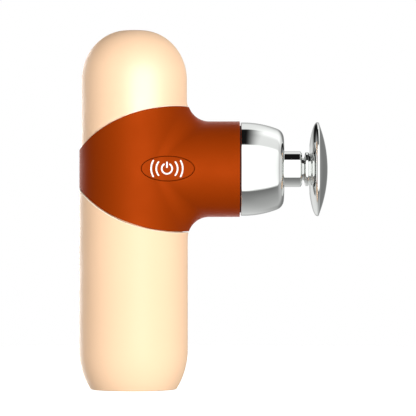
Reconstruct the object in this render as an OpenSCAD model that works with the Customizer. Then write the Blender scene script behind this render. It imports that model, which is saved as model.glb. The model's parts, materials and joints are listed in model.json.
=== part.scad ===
// Mini massage gun: a capsule-shaped body with a T-shaped collar, whose branch carries the
// reciprocating shaft and a removable mushroom head. A brushless motor in the dome turns a crank,
// and a Scotch yoke turns that rotation into the straight stroke of the plunger.
// +Z runs up the body, +X towards the massage head, and -Y is the side with the power button.
// The origin is on the body's axis, in the plane that it stands on.

/* [Body] */
// Overall height, from the base to the top of the dome
body_h = 150; // [149:0.5:152]
// Outer radius of the lower body and of the collar
handle_r = 22.65; // [22.5:0.05:22.8]
// Outer radius of the upper body, a little slimmer than the collar
top_r = 21.95; // [21.8:0.05:22.1]
// Height of the dome
dome_h = 20.9; // [20:0.1:21.5]
// Radius of the small flat at the top of the dome
dome_flat_r = 2.9; // [2:0.1:4]
// Radius of the flat that the body stands on
base_flat_r = 17.5; // [17:0.1:17.7]
// Height at which the lower body starts to taper towards its base
taper_h = 16.5; // [16:0.1:17]
// Radius of the arc of that taper
taper_arc_r = 31; // [30.5:0.1:31.5]

/* [Collar] */
// Height of the axis of the branch, the shaft and the head
axis_z = 92; // [91.5:0.1:92.5]
// Outer radius of the branch
branch_r = 20; // [19.8:0.05:20.2]
// Distance from the body's axis to the end of the branch
branch_end_x = 44.4; // [44.3:0.1:44.6]
// Radius of the fillet between the body and the branch
fillet_r = 9; // [8:0.5:9.5]
// Half height of the collar at its front, where its edges run level
seam_front_half = 26; // [25.5:0.1:26.5]
// Distance in front of the body's axis at which the collar's edges run level
seam_level_x = 21; // [20:0.5:22]
// Half width of the ellipse that each edge of the collar follows
seam_ellipse_a = 50; // [49:0.5:52]
// Half height of the same ellipse
seam_ellipse_b = 35.5; // [35:0.5:36]

/* [Nose] */
// Radius of the nose cup at its back edge
cup_r = 19.5; // [19.3:0.05:19.6]
// Length of the nose cup
cup_len = 17.95; // [17.8:0.05:18.2]
// Radius of the long arc of the cup's side
cup_side_arc_r = 39.7; // [39:0.1:40.5]
// Radius of the cup's front corner
cup_corner_r = 4.35; // [4:0.05:4.6]
// Radius of the reciprocating shaft
shaft_r = 7.45; // [7.4:0.05:7.5]
// Distance from the body's axis to the shaft's front face, fully extended
shaft_end_x = 70.4; // [70:0.1:70.8]

/* [Head] */
// Radius of the massage disc
disc_r = 19.66; // [19.4:0.02:19.9]
// Radius of the ridge on the back of the disc
disc_ridge_r = 10.66; // [10.4:0.02:11]
// Radius of curvature of the disc's front face
disc_face_arc_r = 52; // [50:0.5:54]
// Distance from the body's axis to the front of the disc
head_front_x = 81.1; // [80.9:0.1:81.3]
// Radius of the push-in stem
stem_r = 4.6; // [4.5:0.05:4.7]

/* [Drive] */
// Throw of the crank, half of the massage stroke
crank_throw = 3.5; // [3:0.25:3.5]
// Outer radius of the motor's rotor can
rotor_r = 17.2; // [17:0.1:17.4]
// Height of the motor's rotor can
rotor_h = 20; // [18:0.5:21]
// Radius of the motor's shaft
motor_shaft_r = 2; // [1.9:0.05:2.1]
// Radius of the crank pin
crank_pin_r = 2.5; // [2.4:0.05:2.5]
// Side of the square slide block on the crank pin
slide_block_w = 8; // [7.8:0.1:8]

/* [Power] */
// Radius of a battery cell
cell_r = 9.1; // [9:0.05:9.15]
// Length of a battery cell
cell_len = 65; // [64:0.5:65]

/* [Button] */
// Distance of the power button's centre in front of the body's axis
button_x = 14.6; // [14:0.1:15]
// Half width of the opening for the power button
button_a = 11.2; // [10.8:0.1:11.3]
// Half height of the same opening
button_b = 5.4; // [5:0.1:5.6]
// Gap around the power button
button_gap = 0.4; // [0.3:0.05:0.5]

/* [Fit] */
// Visible gap at each edge of the collar
seam_gap = 0.15; // [0.1:0.05:0.3]
// Radial clearance of turning and sliding parts
running = 0.05; // [0.03:0.01:0.08]

/* [Hidden] */
$fn = 64;

// Shells: inner radii, spigots and floors
top_inner_r = 19.2;
handle_inner_r = 19.4;
floor_inner_r = 18.7;
floor_z = 6;
floor_step_z = 12;
spigot_r = 20.55;
spigot_len = 5;
collar_inner_r = 20.65;
branch_inner_r = 18;
base_corner_r = 0.9;
base_hole_r = 15.6;
dome_z = body_h - dome_h;
fillet_sink = 0.1;

// Nose
cup_x = branch_end_x + 0.45;
cup_wall = 2;
cup_straight = 1;
cup_front_wall = 2.8;
wiper_r = 9.6;
carrier_flange_r = 17.85;
carrier_tube_r = 11.6;
bushing_r = 10.45;
bushing_back_x = 28;
bushing_front_x = 57;
carrier_screw_count = 3;
carrier_screw_pitch_r = 14;
seal_inner_r = 16.3;
seal_outer_r = 18.15;

// Mechanism frame
guide_plate_z = 79;
guide_plate_top_z = 82.4;
motor_plate_z = 104;
motor_plate_top_z = 106.5;
plate_r = 17.9;
post_x = 10.5;
post_y = 13;
post_r = 1.5;
wire_notch_half = 8;
wire_notch_y = 12.4;

// Motor
bearing_r = 4.5;
bearing_h = 3;
holder_r = 6;
stator_r = 13.2;
stator_z = 109.5;
stator_h = 12.5;
stator_teeth = 9;
rotor_z = 108;
rotor_wall = 1.5;
magnet_count = 12;
magnet_inner_r = 13.9;

// Crank and yoke
crank_z = 98;
crank_h = 5;
pin_seat_z = 2.2;
shaft_seat_z = 2.5;
crank_r = 7.5;
counterweight_r = 11.4;
yoke_z = 84.5;
yoke_floor_z = 86.5;
yoke_top_z = 97;
yoke_half_x = 8.6;
yoke_half_y = 10.7;
slot_half_y = 7.9;
glide_r = 5;
glide_z = 82.5;
glide_top_z = 85.4;
neck_r = 4.8;
shaft_back_x = 19.5;
stud_r = 4;
stud_len = 7.5;
socket_back_x = 47.6;

// Head
bead_x = 71.5;
bead_end_x = 73.2;
bead_r = 7.07;
ridge_x = 73.65;
rim_x = 76.8;
flank_turn = 50;
stem_back_x = 48;
o_ring_x = 59;
o_ring_section_r = 1;

// Battery, boards and socket
cell_x = 9.35;
cell_z = 8;
board_y = -13.4;
board_t = 1.6;
board_half_w = 13;
board_z = 14;
board_top_z = 77.4;
usb_y = -10.15;
usb_w = 8.94;
usb_h = 3.2;
button_back_y = -18.2;
button_board_y = -16.2;
button_board_t = 1;
flex_y = button_board_y + button_board_t;
flex_t = 0.3;
icon_front_y = -19.85;
icon_back_y = -19.45;

// Points of an elliptical arc, from angle a0 to a1
function arc(cx, cy, rx, ry, a0, a1, n) =
    [for (i = [0:n]) let (a = a0 + (a1 - a0) * i / n) [cx + rx * cos(a), cy + ry * sin(a)]];

// Half height of the collar at a distance x in front of the body's axis
function seam_half(x) =
    let (u = (min(x, seam_level_x) - seam_level_x) / seam_ellipse_a)
    seam_front_half - seam_ellipse_b * (1 - sqrt(1 - u * u));

SEAM_STEPS = 24;
SEAM_BACK = -24;
SEAM_FRONT = 60;
function seam_x(i) = i > SEAM_STEPS
    ? SEAM_FRONT
    : SEAM_BACK + (seam_level_x - SEAM_BACK) * i / SEAM_STEPS;

// Places its children's 2D outline upright in the XZ plane, thick enough to pass through the body
module upright() {
    rotate([90, 0, 0])
        linear_extrude(80, center = true)
            children();
}

// Everything from the collar's upper edge upwards, moved up by shift
module above_seam(shift) {
    edge = [for (i = [0:SEAM_STEPS + 1]) [seam_x(i), axis_z + seam_half(seam_x(i)) + shift]];
    upright() polygon(concat(edge, [[SEAM_FRONT, body_h + 5], [SEAM_BACK, body_h + 5]]));
}

// Everything from the collar's lower edge downwards, moved down by shift
module below_seam(shift) {
    edge = [for (i = [0:SEAM_STEPS + 1]) [seam_x(i), axis_z - seam_half(seam_x(i)) - shift]];
    upright() polygon(concat(edge, [[SEAM_FRONT, -5], [SEAM_BACK, -5]]));
}

// The band between the collar's two edges
module between_seams() {
    upper = [for (i = [0:SEAM_STEPS + 1]) [seam_x(i), axis_z + seam_half(seam_x(i))]];
    lower = [for (i = [SEAM_STEPS + 1:-1:0]) [seam_x(i), axis_z - seam_half(seam_x(i))]];
    upright() polygon(concat(upper, lower));
}

// Turns a shape made about +Z onto the axis of the shaft, with its z = 0 at the given x
module on_shaft_axis(x) {
    translate([x, 0, axis_z])
        rotate([0, 90, 0])
            children();
}

module tube(r_out, r_in, h) {
    difference() {
        cylinder(r = r_out, h = h);
        translate([0, 0, -1]) cylinder(r = r_in, h = h + 2);
    }
}

// A cylinder along +X, on the shaft's axis, between two distances from the body's axis
module shaft_axis_rod(r, x0, x1) {
    on_shaft_axis(x0) cylinder(r = r, h = x1 - x0);
}

module shaft_axis_tube(r_out, r_in, x0, x1) {
    on_shaft_axis(x0) tube(r_out, r_in, x1 - x0);
}

// A box given by its lowest corner and its highest corner
module box(low, high) {
    translate(low) cube(high - low);
}

// The lower body's solid outline: flat base, rounded corner, arc taper and straight side
module handle_solid() {
    taper_cx = handle_r - taper_arc_r;
    taper_cz = taper_h;
    taper_end = asin((taper_cz - base_corner_r) / taper_arc_r);
    corner_x = taper_cx + taper_arc_r * cos(taper_end) - base_corner_r;
    rotate_extrude()
        polygon(concat(
            [[0, axis_z]],
            [[0, 0]],
            arc(min(corner_x, base_flat_r), base_corner_r, base_corner_r, base_corner_r, -90, -20, 3),
            arc(taper_cx, taper_cz, taper_arc_r, taper_arc_r, -taper_end, 0, 9),
            [[handle_r, axis_z]]
        ));
}

// The upper body's solid outline: straight side and a dome with a small flat
module top_solid(r, rise, flat_r) {
    rotate_extrude()
        polygon(concat(
            [[0, axis_z - 10], [r, axis_z - 10]],
            arc(flat_r, dome_z, r - flat_r, rise, 0, 90, 14),
            [[0, dome_z + rise]]
        ));
}

// The fillet around the branch, as the surface of a ball that rolls along the junction.
// It sits fillet_sink inside the two cylinders that it joins, so that it crosses them cleanly.
FILLET_TURNS = 40;
FILLET_STEPS = 5;
function unit(v) = v / norm(v);
function fillet_point(turn, step) =
    let (
        a = 360 * turn / FILLET_TURNS,
        body_r = handle_r - fillet_sink,
        side_r = branch_r - fillet_sink,
        reach = side_r + fillet_r,
        cy = reach * cos(a),
        cz = reach * sin(a),
        cx = sqrt(pow(body_r + fillet_r, 2) - cy * cy),
        share = body_r / (body_r + fillet_r),
        centre = [cx, cy, cz],
        to_branch = [0, -cos(a), -sin(a)],
        to_body = unit([cx * share - cx, cy * share - cy, 0]),
        opening = acos(to_branch * to_body),
        t = step / FILLET_STEPS
    )
    centre + fillet_r * (to_branch * sin((1 - t) * opening) + to_body * sin(t * opening))
        / sin(opening);

module fillet_solid() {
    rows = FILLET_STEPS + 1;
    front = [for (turn = [0:FILLET_TURNS - 1])
        let (p = fillet_point(turn, 0), a = 360 * turn / FILLET_TURNS)
        [p[0] + 4, (branch_r - 2) * cos(a), (branch_r - 2) * sin(a)]];
    skin = [for (turn = [0:FILLET_TURNS - 1]) for (step = [0:FILLET_STEPS]) fillet_point(turn, step)];
    first_skin = FILLET_TURNS;
    back = first_skin + FILLET_TURNS * rows;
    function next(turn) = (turn + 1) % FILLET_TURNS;
    translate([0, 0, axis_z])
        polyhedron(
            points = concat(front, skin, [[1, 0, 0], [branch_end_x - 8, 0, 0]]),
            faces = concat(
                [for (t = [0:FILLET_TURNS - 1]) [back + 1, next(t), t]],
                [for (t = [0:FILLET_TURNS - 1]) [next(t), first_skin + t * rows, t]],
                [for (t = [0:FILLET_TURNS - 1])
                    [first_skin + next(t) * rows, first_skin + t * rows, next(t)]],
                [for (t = [0:FILLET_TURNS - 1]) for (s = [0:FILLET_STEPS - 1])
                    [first_skin + next(t) * rows + s, first_skin + t * rows + s + 1,
                        first_skin + t * rows + s]],
                [for (t = [0:FILLET_TURNS - 1]) for (s = [0:FILLET_STEPS - 1])
                    [first_skin + next(t) * rows + s + 1, first_skin + t * rows + s + 1,
                        first_skin + next(t) * rows + s]],
                [for (t = [0:FILLET_TURNS - 1])
                    [first_skin + next(t) * rows + FILLET_STEPS, back,
                        first_skin + t * rows + FILLET_STEPS]]
            ),
            convexity = 6
        );
}

// The collar's solid outline: body, branch and the fillet between them
module collar_solid() {
    union() {
        translate([0, 0, axis_z - 40]) cylinder(r = handle_r, h = 80);
        shaft_axis_rod(branch_r, 0, branch_end_x);
        fillet_solid();
    }
}

// An upright oval bar through the front of the collar, where the power button lies
module button_bar(a, b, y0, y1) {
    translate([button_x, y1, axis_z])
        rotate([90, 0, 0])
            linear_extrude(y1 - y0)
                polygon(arc(0, 0, a, b, 0, 360 - 360 / 48, 47));
}

// ---------------------------------------------------------------- outer shells

module handle_shell() {
    color("#ffe3bd")
        difference() {
            union() {
                intersection() {
                    handle_solid();
                    below_seam(seam_gap);
                }
                intersection() {
                    translate([0, 0, 50]) cylinder(r = spigot_r, h = 45);
                    below_seam(-spigot_len);
                }
            }
            translate([0, 0, floor_z]) cylinder(r = floor_inner_r, h = 8);
            translate([0, 0, floor_step_z]) cylinder(r = handle_inner_r, h = 100);
            translate([0, 0, -1]) cylinder(r = base_hole_r, h = 10);
        }
}

module base_cap() {
    color("#f5d8b0")
        difference() {
            union() {
                cylinder(r = base_hole_r - 0.12, h = 2);
                translate([0, 0, 2]) tube(15, 13.4, 3.6);
            }
            translate([0, usb_y, -1]) linear_extrude(4) stadium(usb_w + 0.6, usb_h + 0.6);
            translate([8.5, usb_y, -1]) cylinder(r = 1, h = 8);
        }
}

module top_shell() {
    color("#ffe9c6")
        difference() {
            union() {
                intersection() {
                    top_solid(top_r, dome_h, dome_flat_r);
                    above_seam(seam_gap);
                }
                intersection() {
                    translate([0, 0, 90]) cylinder(r = spigot_r, h = 34);
                    above_seam(-spigot_len);
                }
            }
            top_solid(top_inner_r, dome_h - 2.3, 1.5);
        }
}

module collar_shell() {
    color("#b94607")
        difference() {
            intersection() {
                collar_solid();
                between_seams();
            }
            translate([0, 0, axis_z - 50]) cylinder(r = collar_inner_r, h = 100);
            shaft_axis_rod(branch_inner_r, 0, branch_end_x + 5);
            button_bar(button_a, button_b, -40, -5);
        }
}

// ---------------------------------------------------------------- nose

module nose_seal_ring() {
    color("#1c1a19") shaft_axis_tube(seal_outer_r, seal_inner_r, branch_end_x, cup_x);
}

module cup_outline() {
    side_cr = cup_r - cup_side_arc_r;
    corner_z = cup_len - cup_corner_r;
    corner_angle = asin((corner_z - cup_straight) / (cup_side_arc_r - cup_corner_r));
    corner_cr = side_cr + (cup_side_arc_r - cup_corner_r) * cos(corner_angle);
    polygon(concat(
        [[0, 0], [cup_r, 0]],
        arc(side_cr, cup_straight, cup_side_arc_r, cup_side_arc_r, 0, corner_angle, 8),
        arc(corner_cr, corner_z, cup_corner_r, cup_corner_r, corner_angle + 8, 90, 7),
        [[0, cup_len]]
    ));
}

module cup_hollow() {
    side_cr = cup_r - cup_side_arc_r;
    inner_arc_r = cup_side_arc_r - cup_wall;
    polygon(concat(
        [[0, -1], [cup_r - cup_wall, -1]],
        arc(side_cr, cup_straight, inner_arc_r, inner_arc_r, 0, 19, 6),
        [[13.5, cup_len - cup_front_wall], [0, cup_len - cup_front_wall]]
    ));
}

module nose_cup() {
    color("#c8cac8")
        on_shaft_axis(cup_x)
            difference() {
                union() {
                    difference() {
                        rotate_extrude() cup_outline();
                        rotate_extrude() cup_hollow();
                    }
                    for (i = [0:carrier_screw_count - 1])
                        rotate([0, 0, 360 * i / carrier_screw_count])
                            translate([carrier_screw_pitch_r, 0, 0.1])
                                cylinder(r = 2.3, h = cup_len - cup_front_wall);
                }
                translate([0, 0, 5]) cylinder(r = wiper_r, h = cup_len);
                for (i = [0:carrier_screw_count - 1])
                    rotate([0, 0, 360 * i / carrier_screw_count])
                        translate([carrier_screw_pitch_r, 0, -1])
                            cylinder(r = 1, h = 10);
            }
}

module shaft_wiper() {
    color("#201e1d")
        shaft_axis_tube(
            wiper_r, shaft_r + running,
            cup_x + cup_len - cup_front_wall, cup_x + cup_len - 0.4
        );
}

module bushing_carrier() {
    color("#3a3a3c")
        difference() {
            union() {
                shaft_axis_rod(carrier_tube_r, 26, bushing_front_x + 1);
                shaft_axis_rod(carrier_flange_r, 26, 28.5);
                shaft_axis_rod(carrier_flange_r, 41, branch_end_x - 0.05);
                shaft_axis_rod(seal_inner_r - 0.1, 43, cup_x - 0.05);
            }
            shaft_axis_rod(bushing_r, bushing_back_x, bushing_front_x);
            shaft_axis_rod(shaft_r + 0.6, 20, 65);
            for (i = [0:carrier_screw_count - 1])
                on_shaft_axis(24)
                    rotate([0, 0, 360 * i / carrier_screw_count])
                        translate([carrier_screw_pitch_r, 0, 0])
                            cylinder(r = 1, h = 24);
        }
}

module linear_bushing() {
    color("#b08d57")
        shaft_axis_tube(bushing_r, shaft_r + running, bushing_back_x, bushing_front_x);
}

module carrier_screws() {
    color("#8a8c8e")
        for (i = [0:carrier_screw_count - 1])
            on_shaft_axis(0)
                rotate([0, 0, 360 * i / carrier_screw_count])
                    translate([carrier_screw_pitch_r, 0, 0]) {
                        translate([0, 0, 39.6]) socket_head(1.9, 1.4);
                        translate([0, 0, 41]) cylinder(r = 1, h = 9.8);
                    }
}

// A screw head that rises from z = 0 to h, with a hexagonal recess in its z = 0 face
module socket_head(r, h) {
    difference() {
        cylinder(r = r, h = h);
        translate([0, 0, -0.1]) cylinder(r = r * 0.5, h = h * 0.6, $fn = 6);
    }
}

// ---------------------------------------------------------------- mechanism frame

module frame_plate(z0, z1) {
    difference() {
        translate([0, 0, z0]) cylinder(r = plate_r, h = z1 - z0);
        box([-wire_notch_half, -30, z0 - 1], [wire_notch_half, -wire_notch_y, z1 + 1]);
        for (sx = [-1, 1], sy = [-1, 1])
            translate([sx * post_x, sy * post_y, z0 - 1]) cylinder(r = 1, h = z1 - z0 + 2);
    }
}

module guide_plate() {
    color("#4a4b4e") frame_plate(guide_plate_z, guide_plate_top_z);
}

module motor_plate() {
    color("#9da0a3")
        difference() {
            frame_plate(motor_plate_z, motor_plate_top_z);
            translate([0, 0, motor_plate_z - 1]) cylinder(r = holder_r, h = 10);
        }
}

module frame_posts() {
    color("#77797c")
        for (sx = [-1, 1], sy = [-1, 1])
            translate([sx * post_x, sy * post_y, guide_plate_top_z])
                tube(post_r, 1, motor_plate_z - guide_plate_top_z);
}

module frame_screws() {
    color("#8a8c8e")
        for (sx = [-1, 1], sy = [-1, 1])
            translate([sx * post_x, sy * post_y, 0]) {
                translate([0, 0, guide_plate_z - 1.3]) socket_head(1.8, 1.3);
                translate([0, 0, guide_plate_z]) cylinder(r = 1, h = 9);
                translate([0, 0, motor_plate_top_z + 1.3]) mirror([0, 0, 1]) socket_head(1.8, 1.3);
                translate([0, 0, motor_plate_top_z - 9]) cylinder(r = 1, h = 9);
            }
}

module motor_damper_ring() {
    color("#2b2927")
        translate([0, 0, motor_plate_z])
            tube(top_inner_r - 0.1, plate_r, motor_plate_top_z - motor_plate_z);
}

// ---------------------------------------------------------------- motor

module stator_holder() {
    color("#b8babd")
        translate([0, 0, motor_plate_z])
            difference() {
                union() {
                    cylinder(r = holder_r, h = 18);
                    translate([0, 0, 2.5]) cylinder(r = holder_r + 1.6, h = stator_z - 106.5);
                }
                translate([0, 0, -1]) cylinder(r = bearing_r, h = bearing_h + 1);
                translate([0, 0, 18 - bearing_h]) cylinder(r = bearing_r, h = bearing_h + 1);
                translate([0, 0, -1]) cylinder(r = 3.2, h = 20);
            }
}

module stator_core() {
    pitch = 360 / stator_teeth;
    color("#6f7276")
        translate([0, 0, stator_z])
            linear_extrude(stator_h)
                union() {
                    difference() {
                        circle(r = 8.4);
                        circle(r = holder_r);
                    }
                    for (i = [0:stator_teeth - 1])
                        rotate(pitch * i)
                            translate([8, -1.2]) square([4.4, 2.4]);
                    difference() {
                        circle(r = stator_r);
                        circle(r = 12);
                        for (i = [0:stator_teeth - 1])
                            rotate(pitch * (i + 0.5))
                                translate([10, -0.9]) square([5, 1.8]);
                    }
                }
}

module stator_windings() {
    color("#b8703a")
        translate([0, 0, stator_z - 1.1])
            for (i = [0:stator_teeth - 1])
                rotate([0, 0, 360 / stator_teeth * i])
                    difference() {
                        box([8.9, -2.5, 0], [11.7, 2.5, stator_h + 2.2]);
                        box([8, -1.25, 1.05], [13, 1.25, stator_h + 1.15]);
                    }
}

module motor_bearings() {
    color("#a9acb0")
        for (z = [motor_plate_z, motor_plate_z + 18 - bearing_h])
            translate([0, 0, z]) tube(bearing_r, motor_shaft_r + running, bearing_h);
}

module rotor_can() {
    color("#3b3e44")
        translate([0, 0, rotor_z])
            difference() {
                cylinder(r = rotor_r, h = rotor_h);
                translate([0, 0, -1]) cylinder(r = rotor_r - rotor_wall, h = rotor_h - 0.6);
                translate([0, 0, -1]) cylinder(r = motor_shaft_r, h = rotor_h + 2);
                for (i = [0:5])
                    rotate([0, 0, 60 * i])
                        translate([10.5, 0, rotor_h - 3]) cylinder(r = 2.2, h = 5);
            }
}

module rotor_magnets() {
    color("#55585c")
        translate([0, 0, rotor_z + 1])
            difference() {
                tube(rotor_r - rotor_wall, magnet_inner_r, stator_h + 1.5);
                for (i = [0:magnet_count - 1])
                    rotate([0, 0, 360 / magnet_count * i])
                        translate([magnet_inner_r - 2, -0.4, -1]) cube([6, 0.8, stator_h + 4]);
            }
}

module motor_shaft() {
    color("#c2c4c6")
        translate([0, 0, crank_z + shaft_seat_z])
            cylinder(r = motor_shaft_r, h = rotor_z + rotor_h - crank_z - shaft_seat_z + 0.6);
}

// ---------------------------------------------------------------- crank, yoke and plunger

module crank_disc() {
    color("#8f8b84")
        translate([0, 0, crank_z])
            difference() {
                union() {
                    cylinder(r = crank_r, h = crank_h);
                    intersection() {
                        cylinder(r = counterweight_r, h = crank_h);
                        box([-20, -20, 0], [-2, 20, crank_h]);
                    }
                }
                translate([0, 0, shaft_seat_z]) cylinder(r = motor_shaft_r, h = crank_h);
                translate([crank_throw, 0, -1]) cylinder(r = crank_pin_r, h = pin_seat_z + 1);
            }
}

module crank_pin() {
    color("#d0d2d4")
        translate([crank_throw, 0, yoke_floor_z + 0.4])
            cylinder(r = crank_pin_r, h = crank_z + pin_seat_z - yoke_floor_z - 0.4);
}

module slide_block() {
    half = slide_block_w / 2;
    color("#c89b4a")
        translate([crank_throw, 0, 0])
            difference() {
                box([-half, -half, yoke_floor_z + 0.2], [half, half, yoke_top_z - 0.5]);
                translate([0, 0, yoke_floor_z - 1]) cylinder(r = crank_pin_r + running, h = 20);
            }
}

module yoke_glide_button() {
    color("#e8e6e0")
        translate([crank_throw, 0, glide_z])
            cylinder(r = glide_r, h = glide_top_z - glide_z);
}

module yoke() {
    slot_half_x = slide_block_w / 2 + running;
    color("#a6a9ad")
        union() {
            translate([crank_throw, 0, 0])
                difference() {
                    box([-yoke_half_x, -yoke_half_y, yoke_z], [yoke_half_x, yoke_half_y, yoke_top_z]);
                    box(
                        [-slot_half_x, -slot_half_y, yoke_floor_z],
                        [slot_half_x, slot_half_y, yoke_top_z + 1]
                    );
                    translate([0, 0, yoke_z - 1]) cylinder(r = glide_r + running, h = 2);
                }
            shaft_axis_rod(neck_r, crank_throw + yoke_half_x - 1, shaft_back_x);
            shaft_axis_rod(stud_r, shaft_back_x - 1, shaft_back_x + stud_len);
        }
}

module plunger_shaft() {
    chamfer = 0.4;
    length = shaft_end_x - shaft_back_x;
    color("#d5d7d6")
        on_shaft_axis(shaft_back_x)
            difference() {
                rotate_extrude()
                    polygon([
                        [0, 0], [shaft_r - chamfer, 0], [shaft_r, chamfer],
                        [shaft_r, length - chamfer], [shaft_r - chamfer, length], [0, length]
                    ]);
                translate([0, 0, -1]) cylinder(r = stud_r, h = stud_len + 1);
                translate([0, 0, socket_back_x - shaft_back_x])
                    cylinder(r = stem_r + running, h = 60);
            }
}

// ---------------------------------------------------------------- massage head

module massage_disc() {
    face_cz = head_front_x - disc_face_arc_r;
    rim_round = 0.6;
    edge_angle = asin((disc_r - rim_round) / disc_face_arc_r);
    flank_r = (disc_r - disc_ridge_r) / (1 - cos(flank_turn));
    flank_len = (rim_x - ridge_x) / sin(flank_turn);
    color("#cfd1d0")
        on_shaft_axis(0)
            difference() {
                rotate_extrude()
                    polygon(concat(
                        [[0, 70.9], [stem_r, 70.9], [5.6, 71.4], [6.65, bead_x]],
                        [[bead_r, 72], [bead_r, 72.7], [6.65, bead_end_x]],
                        arc(disc_r - flank_r, rim_x, flank_r, flank_len, -flank_turn, 0, 10),
                        arc(
                            0, face_cz, disc_face_arc_r, disc_face_arc_r,
                            90 - edge_angle, 90, 9
                        )
                    ));
                translate([0, 0, 60]) cylinder(r = stem_r - 0.8, h = 16);
            }
}

module head_stem() {
    color("#b9bbba")
        on_shaft_axis(stem_back_x)
            difference() {
                union() {
                    cylinder(r = stem_r, h = 70.9 - stem_back_x);
                    cylinder(r = stem_r - 0.8, h = 76 - stem_back_x);
                }
                rotate_extrude()
                    translate([stem_r - 2 * o_ring_section_r, o_ring_x - stem_back_x - 1.1])
                        square([5, 2.2]);
            }
}

module stem_o_ring() {
    color("#181716")
        on_shaft_axis(o_ring_x)
            rotate_extrude()
                translate([stem_r - o_ring_section_r, 0])
                    circle(r = o_ring_section_r);
}

// ---------------------------------------------------------------- power button

module power_button() {
    color("#c04914")
        difference() {
            intersection() {
                collar_solid();
                button_bar(button_a - button_gap, button_b - button_gap, -40, button_back_y);
            }
            button_icon_bar(-40, icon_back_y);
        }
}

// A power symbol, a ring open at its top with a short bar in the gap, as a bar along Y
module button_icon_bar(y0, y1) {
    translate([button_x - 0.4, y1, axis_z])
        rotate([90, 0, 0])
            linear_extrude(y1 - y0)
                union() {
                    difference() {
                        circle(r = 2.3);
                        circle(r = 1.7);
                        translate([-0.9, 0]) square([1.8, 3]);
                    }
                    translate([-0.3, 0.6]) square([0.6, 2.1]);
                }
}

module button_icon() {
    color("#fbf8f3") button_icon_bar(icon_front_y, icon_back_y);
}

module button_actuator() {
    color("#e6e2da")
        translate([button_x, -17.55, axis_z])
            rotate([90, 0, 0])
                cylinder(r = 1.5, h = -17.55 - button_back_y);
}

module button_board() {
    color("#1f5a3a")
        box([4, button_board_y, axis_z - 5], [24, flex_y, axis_z + 5]);
}

module button_switch() {
    color("#2a2a2c")
        box([button_x - 3, -16.9, axis_z - 3], [button_x + 3, button_board_y, axis_z + 3]);
}

module button_flex() {
    color("#c98a2e")
        union() {
            box([2, flex_y, 74], [6, flex_y + flex_t, 90]);
            box([2, flex_y, 74], [6, board_y, 74 + flex_t]);
        }
}

// ---------------------------------------------------------------- electronics and battery

module control_board() {
    color("#1f5a3a")
        union() {
            box([-board_half_w, board_y, board_z], [board_half_w, board_y + board_t, board_top_z]);
            box([-6, board_y, 8.4], [6, board_y + board_t, board_z + 1]);
        }
}

module board_components() {
    outer = board_y;
    color("#2f3033")
        union() {
            box([-3, outer - 1, 42], [3, outer, 48]);
            for (i = [-1:1])
                box([i * 5.2 - 2.1, outer - 1.2, 60], [i * 5.2 + 2.1, outer, 65]);
            box([-4, outer - 3, 24], [4, outer, 32]);
            box([-7, outer - 3.6, 69], [-1, outer, 72.5]);
            translate([7.5, outer, 52]) rotate([90, 0, 0]) cylinder(r = 2.4, h = 2.5);
        }
}

module motor_leads() {
    color("#d9a21b")
        for (x = [-6, -3.8, -1.6])
            translate([x, -14.3, 72.6]) cylinder(r = 0.8, h = 34.6);
}

module cell(x) {
    color("#2f6fb0")
        translate([x, 0, cell_z])
            union() {
                cylinder(r = cell_r, h = cell_len - 0.8);
                cylinder(r = 2.8, h = cell_len);
            }
}

module battery_cell_front() {
    cell(cell_x);
}

module battery_cell_rear() {
    cell(-cell_x);
}

module tray(z0, z1, pocket0, pocket1) {
    difference() {
        intersection() {
            translate([0, 0, z0]) cylinder(r = floor_inner_r - 0.1, h = z1 - z0);
            box([-30, -8.2, z0], [30, 8.2, z1]);
        }
        for (x = [-cell_x, cell_x])
            translate([x, 0, pocket0]) cylinder(r = cell_r + 0.05, h = pocket1 - pocket0);
    }
}

module lower_battery_tray() {
    color("#d8d6d0")
        difference() {
            tray(6.1, 11, cell_z - 0.3, 12);
            box([-12, -3, cell_z - 0.3], [12, 3, 12]);
        }
}

module upper_battery_tray() {
    color("#d8d6d0")
        difference() {
            tray(70, 75.4, 69, cell_z + cell_len + 0.3);
            for (x = [-cell_x, cell_x])
                translate([x, 0, 70]) cylinder(r = 1, h = 10);
        }
}

module nickel_strips() {
    color("#b5b8ba")
        union() {
            box([-12, -3, cell_z - 0.3], [12, 3, cell_z]);
            for (x = [-cell_x, cell_x])
                box([x - 3, -3, cell_z + cell_len], [x + 3, 3, cell_z + cell_len + 0.3]);
        }
}

module battery_leads() {
    elbow_z = 76.4;
    color("#b3261e")
        for (x = [-cell_x, cell_x])
            translate([x, 0, 0])
                union() {
                    translate([0, 0, cell_z + cell_len + 0.3]) cylinder(r = 0.8, h = 2.8);
                    translate([0, 0, elbow_z]) sphere(r = 0.8);
                    translate([0, 0, elbow_z])
                        rotate([90, 0, 0])
                            cylinder(r = 0.8, h = -board_y - board_t);
                }
}

// A rectangle of width w and height h with fully round ends
module stadium(w, h) {
    union() {
        square([w - h, h], center = true);
        for (side = [-1, 1])
            translate([side * (w - h) / 2, 0]) circle(r = h / 2);
    }
}

module usb_c_socket() {
    color("#c4c6c8")
        translate([0, usb_y, 0.8])
            union() {
                difference() {
                    linear_extrude(7.4) stadium(usb_w, usb_h);
                    translate([0, 0, -1]) linear_extrude(7) stadium(usb_w - 0.6, usb_h - 0.6);
                }
                translate([0, 0, 0.6]) linear_extrude(6) square([6.7, 0.7], center = true);
            }
}

module charge_light_guide() {
    color("#f4f4f0") translate([8.5, usb_y, 0]) cylinder(r = 1, h = 4.5);
}

// ---------------------------------------------------------------- nodes

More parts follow.
